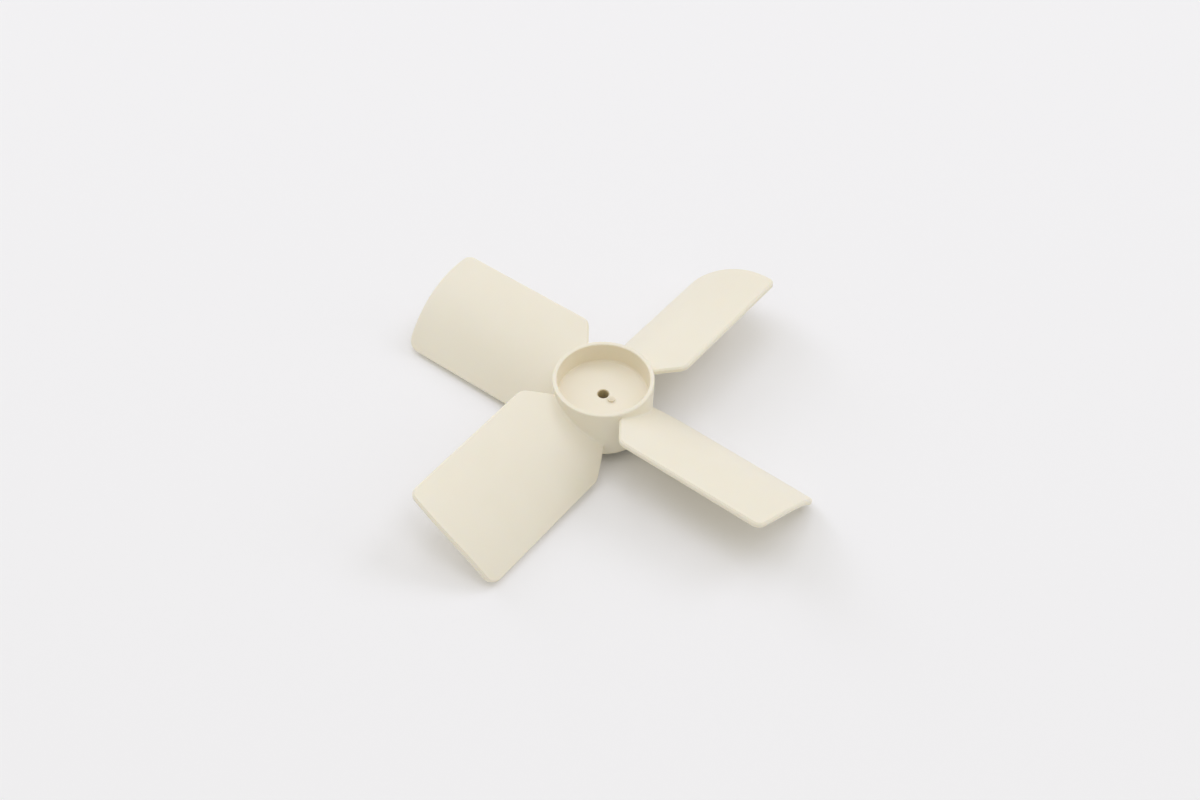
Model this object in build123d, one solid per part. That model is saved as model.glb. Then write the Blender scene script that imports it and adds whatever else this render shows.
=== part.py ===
from build123d import *
import os
from math import degrees, hypot, radians, tan

# Axial fan impeller, moulded in one piece: a cup-shaped hub that carries four cambered blades.
# Millimetres and degrees. The shaft axis is Z and the cup is open towards +Z. The blades stand
# at 0, 90, 180 and 270 degrees. While it is built, the rim of the cup is at level 0 and all
# else hangs below it; the finished part is raised to rest on the end of its boss at z = 0.

# ---- fan ----
fan_diameter = 127.0
blade_count = 4

# ---- hub ----
hub_diameter = 28.0          # outside, at the rim of the cup
hub_height = 16.0
hub_wall = 1.3
hub_draft = 1.0              # lean of the walls, so that the part leaves its mould
cup_depth = 6.4
web_thickness = 2.0          # the floor of the cup
rim_round = 0.4
foot_chamfer = 0.15
cup_floor_round = 0.5

# ---- shaft seat and ribs, under the floor of the cup ----
shaft_bore = 3.0
bore_chamfer = 0.25
boss_diameter = 8.0
boss_reach = 3.3             # the boss ends this far below the foot of the hub
boss_chamfer = 0.3
rib_thickness = 1.2
rib_recess = 3.0             # the ribs end this far above the foot of the hub
pocket_round = 0.5           # upright inside corners of the pockets between the ribs

# ---- gate mark: a low round nub on the floor of the cup, where the plastic entered the mould ----
gate_diameter = 2.0
gate_height = 0.45
gate_distance = 3.1          # from the shaft axis
gate_direction = -7.0        # round the axis, from +X

# ---- blade section ----
blade_width = 32.7           # from edge to edge, measured round the camber
blade_thickness = 1.8
blade_pitch = 31.0           # at the crown, from the plane of rotation
camber_radius = 41.0
crown_rise = 1.6             # crown of the blade above the middle of the hub's height
crown_droop = 0.9            # the crown line falls towards the tip by this angle

# ---- blade outline: one long edge is high, the other low, and both root corners are cut off ----
high_root_side = 12.36       # at the hub, from the crown to the high cut, round the camber
high_cut_angle = 54.0        # between the cut and the line of the blade
low_root_side = 12.87
low_cut_angle = 36.5
root_corner_round = 3.5
high_tip_round = 2.6
low_tip_round = 3.4
edge_chamfer = 0.45
root_fillet = 0.6            # where a blade runs into the hub

# ---- worked out from the sizes above ----
tip_radius = fan_diameter / 2
hub_radius = hub_diameter / 2
foot_level = -hub_height
web_top = -cup_depth
web_bottom = web_top - web_thickness
boss_end = foot_level - boss_reach
crown_level = -hub_height / 2 + crown_rise
half_span = degrees(blade_width / 2 / camber_radius)   # half of the camber arc, as an angle
blade_step = 360 / blade_count
block_size = 2 * hub_diameter                          # cutting shapes overshoot the part
HIGH_EDGE = -1
LOW_EDGE = 1


def drafted_change(height):
    """How much the radius of a drafted wall changes over a height."""
    return height * tan(radians(hub_draft))


def round_body(top_radius, bottom_radius, top_level, bottom_level):
    """Cone about Z between two levels, its seam turned half a step away from the blades."""
    half_section = Polyline(
        (0, top_level), (top_radius, top_level), (bottom_radius, bottom_level), (0, bottom_level),
        close=True,
    )
    return Rot(Z=blade_step / 2) * revolve(Plane.XZ * make_face(half_section), Axis.Z)


# ---- blade ----

def blade_strip():
    """Curved strip along X with its crown on the X axis, longer than the blade at both ends."""
    centre = (0, -camber_radius)
    half_thickness = blade_thickness / 2
    outer = CenterArc(centre, camber_radius + half_thickness, 90 - half_span, 2 * half_span)
    inner = CenterArc(centre, camber_radius - half_thickness, 90 - half_span, 2 * half_span)
    low_end = Line(outer @ 0, inner @ 0)
    high_end = Line(outer @ 1, inner @ 1)
    section = Plane.YZ * make_face([outer, inner, low_end, high_end])
    inner_station = hub_radius / 2
    return Pos(X=inner_station) * extrude(section, tip_radius)


def root_corner_block(side, root_side, angle):
    """Block that cuts one root corner off the strip, square to the strip at its edge."""
    station = hub_radius + (blade_width / 2 - root_side) / tan(radians(angle))
    on_edge = Pos(station, 0, -camber_radius) * Rot(X=-side * half_span) * Pos(Z=camber_radius)
    outwards = Align.MIN if side == LOW_EDGE else Align.MAX
    block = Box(block_size, block_size, block_size, align=(Align.CENTER, outwards, Align.CENTER))
    return on_edge * Rot(Z=side * angle) * block


def pitched(strip):
    """The strip turned to its pitch and droop, with its crown at the right height at the hub."""
    crown_at_hub = Pos(hub_radius, 0, crown_level)
    return crown_at_hub * Rot(Y=crown_droop) * Pos(X=-hub_radius) * Rot(X=-blade_pitch) * strip


def corner_edges(blade, nearest, farthest):
    """Short edges through the thickness, at corners between two distances from the axis."""
    found = ShapeList()
    for edge in blade.edges():
        distance = hypot(edge.center().X, edge.center().Y)
        if edge.length < 2 * blade_thickness and nearest < distance < farthest:
            found.append(edge)
    return found


def face_borders(blade):
    """Edges round the blade's two broad faces, without the ends that the hub swallows."""
    broad_faces = blade.faces().sort_by(SortBy.AREA)[-2:]
    borders = [edge for face in broad_faces for edge in face.edges()]
    return [edge for edge in borders if edge.bounding_box().max.X > hub_radius]


def make_blade():
    """The blade that points along +X, from inside the hub to its round tip."""
    strip = blade_strip()
    strip -= root_corner_block(HIGH_EDGE, high_root_side, high_cut_angle)
    strip -= root_corner_block(LOW_EDGE, low_root_side, low_cut_angle)
    swept_circle = Rot(Z=180) * Cylinder(tip_radius, 2 * block_size)
    blade = pitched(strip) & swept_circle
    mid_radius = (hub_radius + tip_radius) / 2
    low_tip = corner_edges(blade, mid_radius, 2 * tip_radius).sort_by(Axis.Z)[0]
    blade = fillet(low_tip, low_tip_round)
    high_tip = corner_edges(blade, mid_radius, 2 * tip_radius).sort_by(Axis.Z)[-1]
    blade = fillet(high_tip, high_tip_round)
    blade = fillet(corner_edges(blade, hub_radius, mid_radius), root_corner_round)
    return chamfer(face_borders(blade), edge_chamfer)


# ---- hub ----

def cup_space():
    """The open cup above the web, a little narrower at its floor."""
    rim_inside = hub_radius - hub_wall
    floor_inside = rim_inside - drafted_change(cup_depth)
    space = round_body(rim_inside, floor_inside, 0, web_top)
    return fillet(space.edges().group_by(Axis.Z)[0], cup_floor_round)


def boss():
    """Stem under the web that holds the shaft, narrower at its free end."""
    root_radius = boss_diameter / 2
    end_radius = root_radius - drafted_change(web_bottom - boss_end)
    return round_body(root_radius, end_radius, web_bottom, boss_end)


def ribs():
    """Cross of flat ribs under the web, in line with the blades."""
    rib_height = hub_height + web_bottom - rib_recess
    below_web = (Align.MIN, Align.CENTER, Align.MAX)
    rib = Pos(Z=web_bottom) * Box(hub_radius, rib_thickness, rib_height, align=below_web)
    return [Rot(Z=blade_step * index) * rib for index in range(blade_count)]


def pocket_space():
    """The hollow under the web, left free by the boss and the ribs, wider at the foot."""
    foot_inside = hub_radius - drafted_change(hub_height) - hub_wall
    web_inside = foot_inside - drafted_change(web_bottom - foot_level)
    space = round_body(web_inside, foot_inside, web_bottom, foot_level) - boss() - ribs()
    above_ribs = foot_level + rib_recess
    upright = [edge for edge in space.edges() if above_ribs < edge.center().Z < web_bottom]
    return fillet(upright, pocket_round)


def gate_mark():
    """Low nub beside the bore, from the middle of the web to just above it."""
    on_web = (Align.CENTER, Align.CENTER, Align.MAX)
    nub = Cylinder(gate_diameter / 2, gate_height + web_thickness / 2, align=on_web)
    return Rot(Z=gate_direction) * Pos(gate_distance, 0, web_top + gate_height) * nub


def hub_drum():
    """The outside of the hub, still solid."""
    foot_radius = hub_radius - drafted_change(hub_height)
    return round_body(hub_radius, foot_radius, 0, foot_level)


# ---- the whole part ----

def blend_roots(body):
    """Fillet both broad faces of each blade into the hub, within the free wall beside them."""
    outer_wall = body.faces().filter_by(GeomType.CONE).sort_by(SortBy.AREA)[-1]
    loops = [edge for loop in outer_wall.inner_wires() for edge in loop.edges()]
    junctions = [edge for edge in loops if edge.length > 2 * blade_thickness]
    levels = [vertex.Z for edge in junctions for vertex in edge.vertices()]
    free_above = -rim_round - max(levels)
    free_below = min(levels) - foot_level - foot_chamfer
    return fillet(junctions, min(root_fillet, free_above, free_below))


def circles_at(body, level):
    """The circular edges that lie in one horizontal plane."""
    near = 0.001
    circles = body.edges().filter_by(GeomType.CIRCLE)
    return circles.filter_by_position(Axis.Z, level - near, level + near)


def make_impeller():
    """Blades and hub as one solid, hollowed, bored, rounded and raised onto its boss."""
    blade = make_blade()
    body = hub_drum() + [Rot(Z=blade_step * index) * blade for index in range(blade_count)]
    body = blend_roots(body) + boss()
    body = body - cup_space() - pocket_space()
    body = fillet(circles_at(body, 0), rim_round)
    body = chamfer(circles_at(body, foot_level), foot_chamfer)
    body = chamfer(circles_at(body, boss_end), boss_chamfer)
    body -= Cylinder(shaft_bore / 2, 2 * block_size)
    mouths = [circles_at(body, level).sort_by(SortBy.RADIUS)[0] for level in (web_top, boss_end)]
    body = chamfer(mouths, bore_chamfer) + gate_mark()
    return Pos(Z=-body.bounding_box().min.Z) * body


impeller = make_impeller()
impeller.label = "impeller"
os.makedirs("parts", exist_ok=True)
export_step(impeller, "parts/impeller.step")
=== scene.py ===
from math import cos, radians, sin

import bmesh
import bpy
from mathutils import Matrix, Vector


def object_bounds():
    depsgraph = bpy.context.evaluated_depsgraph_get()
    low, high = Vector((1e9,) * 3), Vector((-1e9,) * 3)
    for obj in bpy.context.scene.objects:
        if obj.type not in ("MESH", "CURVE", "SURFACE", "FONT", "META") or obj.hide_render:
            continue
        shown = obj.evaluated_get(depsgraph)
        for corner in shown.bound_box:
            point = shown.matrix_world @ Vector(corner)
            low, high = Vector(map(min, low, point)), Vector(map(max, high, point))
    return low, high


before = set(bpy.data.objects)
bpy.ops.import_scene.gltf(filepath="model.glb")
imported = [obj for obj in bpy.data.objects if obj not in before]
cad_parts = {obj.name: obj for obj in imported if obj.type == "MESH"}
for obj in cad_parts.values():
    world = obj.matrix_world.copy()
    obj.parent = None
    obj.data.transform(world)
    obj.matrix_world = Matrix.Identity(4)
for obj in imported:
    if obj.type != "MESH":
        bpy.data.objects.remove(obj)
cad_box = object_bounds()

# Axial fan impeller in cream plastic, standing on the boss under its hub with the hub's cup
# open upwards. Metres. The shaft axis is Z, and +X runs along the crown of one blade.

MM = 0.001

# ---- camera ----
FRAME_WIDTH = 1200
FOCAL_PIXELS = 1609.45
SENSOR_WIDTH = 36.0
CAMERA_DISTANCE = 433.2 * MM
CAMERA_ELEVATION = radians(48.157)
CAMERA_ROLL = radians(0.685)
VIEW_TURN = radians(37.314)       # from the camera's own heading to the frame's axes
AIM_SIDEWAYS = -0.866 * MM        # the aim point lies in the plane of the hub's rim
AIM_FORWARD = -8.074 * MM
NEAREST_SEEN = 0.01
FARTHEST_SEEN = 20.0

# ---- surroundings ----
FLOOR_SIZE = 4.0
FLOOR_COLOR = (0.92, 0.915, 0.93, 1.0)
FLOOR_ROUGHNESS = 0.9
FLOOR_SPECULAR = 0.1
FLOOR_FADE_START = 0.45           # distances from the shaft axis, between which the floor
FLOOR_FADE_END = 0.9              # that is seen runs over into the backdrop
BACKDROP_COLOR = (0.88, 0.88, 0.89, 1.0)
WORLD_LIGHT = 0.56
WORLD_COLOR = (1.0, 0.98, 0.86, 1.0)

# Soft boxes of one size at one distance, as a light tent has: where each hangs and its power.
# The turn is anticlockwise from the right of the view; both angles are in degrees.
SOFTBOX_SIZE = 1.0
SOFTBOX_DISTANCE = 2.5
SOFTBOXES = {
    "softbox_top": (90, 88, 4.39),
    "softbox_back": (90, 65, 3.69),
    "softbox_back_left": (150, 45, 5.18),
    "softbox_back_left_low": (135, 25, 4.92),
    "softbox_left": (180, 65, 3.07),
    "softbox_back_right": (30, 45, 6.94),
    "softbox_right_low": (0, 25, 2.63),
    "softbox_front_right": (315, 65, 3.86),
}
SOFTBOX_COLOR = (0.985, 1.005, 1.16)

# ---- plastic ----
CREAM = (0.884, 0.831, 0.702, 1.0)
CREAM_DEEP = (0.866, 0.808, 0.670, 1.0)
CLOUD_SCALE = 45.0
CLOUD_DETAIL = 3.0
CLOUD_ROUGHNESS = 0.55
CLOUD_RANGE = (0.3, 0.7)          # the part of the noise that the tone runs over
GRAIN_SCALE = 3800.0
GRAIN_DETAIL = 2.0
GRAIN_ROUGHNESS = 0.6
GRAIN_STRENGTH = 0.25
GRAIN_DEPTH = 0.02 * MM
ROUGHNESS_RANGE = (0.42, 0.58)
PLASTIC_IOR = 1.6
SUBSURFACE_WEIGHT = 0.2
SUBSURFACE_RADIUS = (1.0, 0.75, 0.4)
SUBSURFACE_SCALE = 0.6 * MM
# Painted shade, darker and warmer, beside the gate nub on the floor of the cup.
GATE_SHADE_TINT = (0.56, 0.47, 0.29, 1.0)
GATE_SHADE_PLACE = (3.3 * MM, -0.75 * MM, 13.2 * MM)   # beside the nub on the floor of the cup
GATE_SHADE_RADIUS = 1.7 * MM
GATE_SHADE_STRENGTH = 0.6
# Painted shade on the wall of the deep shaft bore.
BORE_SHADE_TINT = (0.60, 0.51, 0.31, 1.0)
BORE_SHADE_RADIUS = 1.9 * MM      # the painted shade ends at the mouth of the shaft bore
BORE_SHADE_RAMP = (0.05, 0.2)     # how soon the painted shade grows, inwards from that radius
# Faint warm painted shade on the inner side of the hub's wall.
HUB_WALL_SHADE_TINT = (0.85, 0.72, 0.50, 1.0)
HUB_WALL_SHADE_STRENGTH = 0.3
HUB_WALL_MIDDLE = 13.3 * MM       # radius of the middle of the hub's wall
HUB_WALL_SHADE_START = (0.022, 0.041)     # shares of that radius, inwards: the tone grows here,
HUB_WALL_SHADE_END = (0.098, 0.079)       # and from the second of these to the first it fades
SHAFT_REACH = 1.0                 # far more than the hub's height, so a tone is even along Z


def rim_level():
    """Height of the hub's rim, the highest part of the object."""
    return cad_box[1].z


# ---- node helpers ----

def add_node(tree, kind, **settings):
    """One shader node; settings are its properties."""
    node = tree.nodes.new(kind)
    for name, value in settings.items():
        setattr(node, name, value)
    return node


def new_material(name):
    """Empty node material with its output; returns the material and its tree."""
    material = bpy.data.materials.new(name)
    material.use_nodes = True
    tree = material.node_tree
    tree.nodes.clear()
    output = add_node(tree, "ShaderNodeOutputMaterial")
    return material, tree, output


def add_noise(tree, place, scale, detail, roughness):
    """Noise over the object's own coordinates."""
    noise = add_node(tree, "ShaderNodeTexNoise")
    noise.inputs["Scale"].default_value = scale
    noise.inputs["Detail"].default_value = detail
    noise.inputs["Roughness"].default_value = roughness
    tree.links.new(place, noise.inputs["Vector"])
    return noise.outputs["Fac"]


def map_range(tree, value, source=(0.0, 1.0), target=(0.0, 1.0)):
    """The value, carried from one range to another."""
    mapped = add_node(tree, "ShaderNodeMapRange")
    mapped.inputs["From Min"].default_value, mapped.inputs["From Max"].default_value = source
    mapped.inputs["To Min"].default_value, mapped.inputs["To Max"].default_value = target
    tree.links.new(value, mapped.inputs["Value"])
    return mapped.outputs["Result"]


def round_spot(tree, place, centre, radii):
    """1 at the centre, falling to 0 at the radii."""
    spot_space = add_node(tree, "ShaderNodeMapping", vector_type="TEXTURE")
    spot_space.inputs["Location"].default_value = centre
    spot_space.inputs["Scale"].default_value = radii
    tree.links.new(place, spot_space.inputs["Vector"])
    spot = add_node(tree, "ShaderNodeTexGradient", gradient_type="SPHERICAL")
    tree.links.new(spot_space.outputs["Vector"], spot.inputs["Vector"])
    return spot.outputs["Fac"]


def shaft_spot(tree, place, radius):
    """1 on the shaft axis, falling to 0 at the radius, at every height."""
    return round_spot(tree, place, (0.0, 0.0, 0.0), (radius, radius, SHAFT_REACH))


def tint_over(tree, color, tint, amount):
    """The colour with a tint laid over it where the amount says."""
    mix = add_node(tree, "ShaderNodeMix", data_type="RGBA")
    mix.inputs["B"].default_value = tint
    tree.links.new(color, mix.inputs["A"])
    tree.links.new(amount, mix.inputs["Factor"])
    return mix.outputs["Result"]


def shown_rays(tree):
    """1 for the rays that show a background: to the camera, in a reflection or through glass."""
    path = add_node(tree, "ShaderNodeLightPath")
    direct = add_node(tree, "ShaderNodeMath", operation="ADD", use_clamp=True)
    tree.links.new(path.outputs["Is Camera Ray"], direct.inputs[0])
    tree.links.new(path.outputs["Is Glossy Ray"], direct.inputs[1])
    shown = add_node(tree, "ShaderNodeMath", operation="ADD", use_clamp=True)
    tree.links.new(direct.outputs["Value"], shown.inputs[0])
    tree.links.new(path.outputs["Is Transmission Ray"], shown.inputs[1])
    return shown.outputs["Value"]


# ---- materials ----

def cream_plastic():
    """Injection-moulded plastic: even cream with a faint cloudy tone and a fine matte grain, and
    painted shade beside the gate nub, in the bore and inside the hub's wall.
    """
    material, tree, output = new_material("cream_plastic")
    shader = add_node(tree, "ShaderNodeBsdfPrincipled")
    tree.links.new(shader.outputs["BSDF"], output.inputs["Surface"])
    place = add_node(tree, "ShaderNodeTexCoord").outputs["Object"]
    clouds = add_noise(tree, place, CLOUD_SCALE, CLOUD_DETAIL, CLOUD_ROUGHNESS)
    grain = add_noise(tree, place, GRAIN_SCALE, GRAIN_DETAIL, GRAIN_ROUGHNESS)

    body_color = add_node(tree, "ShaderNodeMix", data_type="RGBA")
    body_color.inputs["A"].default_value = CREAM_DEEP
    body_color.inputs["B"].default_value = CREAM
    tone = map_range(tree, clouds, source=CLOUD_RANGE)
    tree.links.new(tone, body_color.inputs["Factor"])

    # Painted shade: the plastic is made a little darker and warmer beside the nub where it entered
    # the mould, on the wall of the bore and, faintly, on the inner side of the hub's wall.
    # Painted shade beside the gate nub.
    gate_shade_spot = round_spot(tree, place, GATE_SHADE_PLACE, (GATE_SHADE_RADIUS,) * 3)
    gate_shade = map_range(tree, gate_shade_spot, target=(0.0, GATE_SHADE_STRENGTH))
    color = tint_over(tree, body_color.outputs["Result"], GATE_SHADE_TINT, gate_shade)
    # Painted shade down the shaft bore.
    bore_spot = shaft_spot(tree, place, BORE_SHADE_RADIUS)
    painted_bore_shade = map_range(tree, bore_spot, source=BORE_SHADE_RAMP)
    color = tint_over(tree, color, BORE_SHADE_TINT, painted_bore_shade)
    # Faint warm painted shade on the inner side of the hub's wall.
    hub_spot = shaft_spot(tree, place, HUB_WALL_MIDDLE)
    growing = map_range(tree, hub_spot, source=HUB_WALL_SHADE_START, target=(0.0, HUB_WALL_SHADE_STRENGTH))
    fading = map_range(tree, hub_spot, source=HUB_WALL_SHADE_END)
    painted_wall_shade = add_node(tree, "ShaderNodeMath", operation="MULTIPLY")
    tree.links.new(growing, painted_wall_shade.inputs[0])
    tree.links.new(fading, painted_wall_shade.inputs[1])
    color = tint_over(tree, color, HUB_WALL_SHADE_TINT, painted_wall_shade.outputs["Value"])
    tree.links.new(color, shader.inputs["Base Color"])

    gloss = map_range(tree, clouds, target=ROUGHNESS_RANGE)
    tree.links.new(gloss, shader.inputs["Roughness"])

    surface = add_node(tree, "ShaderNodeBump")
    surface.inputs["Strength"].default_value = GRAIN_STRENGTH
    surface.inputs["Distance"].default_value = GRAIN_DEPTH
    tree.links.new(grain, surface.inputs["Height"])
    tree.links.new(surface.outputs["Normal"], shader.inputs["Normal"])

    shader.inputs["IOR"].default_value = PLASTIC_IOR
    shader.inputs["Subsurface Weight"].default_value = SUBSURFACE_WEIGHT
    shader.inputs["Subsurface Radius"].default_value = SUBSURFACE_RADIUS
    shader.inputs["Subsurface Scale"].default_value = SUBSURFACE_SCALE
    return material


def floor_material():
    """Plain pale studio paper, which is seen as the backdrop far from the object."""
    material, tree, output = new_material("studio_paper")
    shader = add_node(tree, "ShaderNodeBsdfPrincipled")
    shader.inputs["Base Color"].default_value = FLOOR_COLOR
    shader.inputs["Roughness"].default_value = FLOOR_ROUGHNESS
    shader.inputs["Specular IOR Level"].default_value = FLOOR_SPECULAR
    backdrop = add_node(tree, "ShaderNodeEmission")
    backdrop.inputs["Color"].default_value = BACKDROP_COLOR

    place = add_node(tree, "ShaderNodeTexCoord").outputs["Object"]
    nearness = shaft_spot(tree, place, FLOOR_FADE_END)
    fade = (1 - FLOOR_FADE_START / FLOOR_FADE_END, 0.0)
    far_away = map_range(tree, nearness, source=fade)
    shown_far = add_node(tree, "ShaderNodeMath", operation="MULTIPLY")
    tree.links.new(far_away, shown_far.inputs[0])
    tree.links.new(shown_rays(tree), shown_far.inputs[1])
    paper = add_node(tree, "ShaderNodeMixShader")
    tree.links.new(shown_far.outputs["Value"], paper.inputs["Fac"])
    tree.links.new(shader.outputs["BSDF"], paper.inputs[1])
    tree.links.new(backdrop.outputs["Emission"], paper.inputs[2])
    tree.links.new(paper.outputs["Shader"], output.inputs["Surface"])
    return material


# ---- scene ----

def dress_impeller():
    """The moulding keeps its CAD mesh and takes the plastic on its material slots."""
    plastic = cream_plastic()
    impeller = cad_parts["impeller"]
    for slot in impeller.material_slots:
        slot.material = plastic
    return impeller


def make_floor():
    """Flat sheet that the boss stands on."""
    mesh = bpy.data.meshes.new("floor")
    shape = bmesh.new()
    bmesh.ops.create_grid(shape, x_segments=1, y_segments=1, size=FLOOR_SIZE / 2)
    shape.to_mesh(mesh)
    shape.free()
    floor = bpy.data.objects.new("floor", mesh)
    bpy.context.scene.collection.objects.link(floor)
    mesh.materials.append(floor_material())
    return floor


def make_world():
    """Even pale light all round; the backdrop that is seen has its own colour."""
    world = bpy.data.worlds.new("studio")
    bpy.context.scene.world = world
    world.use_nodes = True
    tree = world.node_tree
    tree.nodes.clear()
    output = add_node(tree, "ShaderNodeOutputWorld")
    light = add_node(tree, "ShaderNodeBackground")
    light.inputs["Color"].default_value = WORLD_COLOR
    light.inputs["Strength"].default_value = WORLD_LIGHT
    backdrop = add_node(tree, "ShaderNodeBackground")
    backdrop.inputs["Color"].default_value = BACKDROP_COLOR
    backdrop.inputs["Strength"].default_value = 1.0
    seen = add_node(tree, "ShaderNodeMixShader")
    tree.links.new(shown_rays(tree), seen.inputs["Fac"])
    tree.links.new(light.outputs["Background"], seen.inputs[1])
    tree.links.new(backdrop.outputs["Background"], seen.inputs[2])
    tree.links.new(seen.outputs["Shader"], output.inputs["Surface"])


def heading(turn, elevation):
    """Unit vector away from the object: turn is anticlockwise from the camera's right."""
    flat = Vector((cos(turn) * cos(elevation), sin(turn) * cos(elevation), sin(elevation)))
    return Matrix.Rotation(VIEW_TURN, 3, "Z") @ flat


def make_softbox(name, turn, elevation, watts):
    """Square area lamp that faces the hub."""
    lamp = bpy.data.lights.new(name, "AREA")
    lamp.shape = "SQUARE"
    lamp.size = SOFTBOX_SIZE
    lamp.energy = watts
    lamp.color = SOFTBOX_COLOR
    direction = heading(radians(turn), radians(elevation))
    box = bpy.data.objects.new(name, lamp)
    box.matrix_world = Matrix.Translation(direction * SOFTBOX_DISTANCE) @ (
        direction.to_track_quat("Z", "Y").to_matrix().to_4x4()
    )
    bpy.context.scene.collection.objects.link(box)
    return box


def make_camera():
    """Camera at the elevation, distance and roll that the views of this fan start from."""
    lens = bpy.data.cameras.new("camera")
    lens.sensor_fit = "HORIZONTAL"
    lens.sensor_width = SENSOR_WIDTH
    lens.lens = SENSOR_WIDTH * FOCAL_PIXELS / FRAME_WIDTH
    lens.clip_start = NEAREST_SEEN
    lens.clip_end = FARTHEST_SEEN
    back = Vector((0, -cos(CAMERA_ELEVATION), sin(CAMERA_ELEVATION)))
    right = Vector((1, 0, 0))
    up = back.cross(right)
    rolled_right = cos(CAMERA_ROLL) * right + sin(CAMERA_ROLL) * up
    rolled_up = cos(CAMERA_ROLL) * up - sin(CAMERA_ROLL) * right
    aim = Vector((AIM_SIDEWAYS, AIM_FORWARD, rim_level()))
    place = Matrix.Translation(aim + back * CAMERA_DISTANCE) @ (
        Matrix((rolled_right, rolled_up, back)).transposed().to_4x4()
    )
    camera = bpy.data.objects.new("camera", lens)
    camera.matrix_world = Matrix.Rotation(VIEW_TURN, 4, "Z") @ place
    bpy.context.scene.collection.objects.link(camera)
    bpy.context.scene.camera = camera
    return camera


bpy.context.scene.view_settings.view_transform = "Standard"
dress_impeller()
make_floor()
make_world()
for name, (turn, elevation, watts) in SOFTBOXES.items():
    make_softbox(name, turn, elevation, watts)
make_camera()
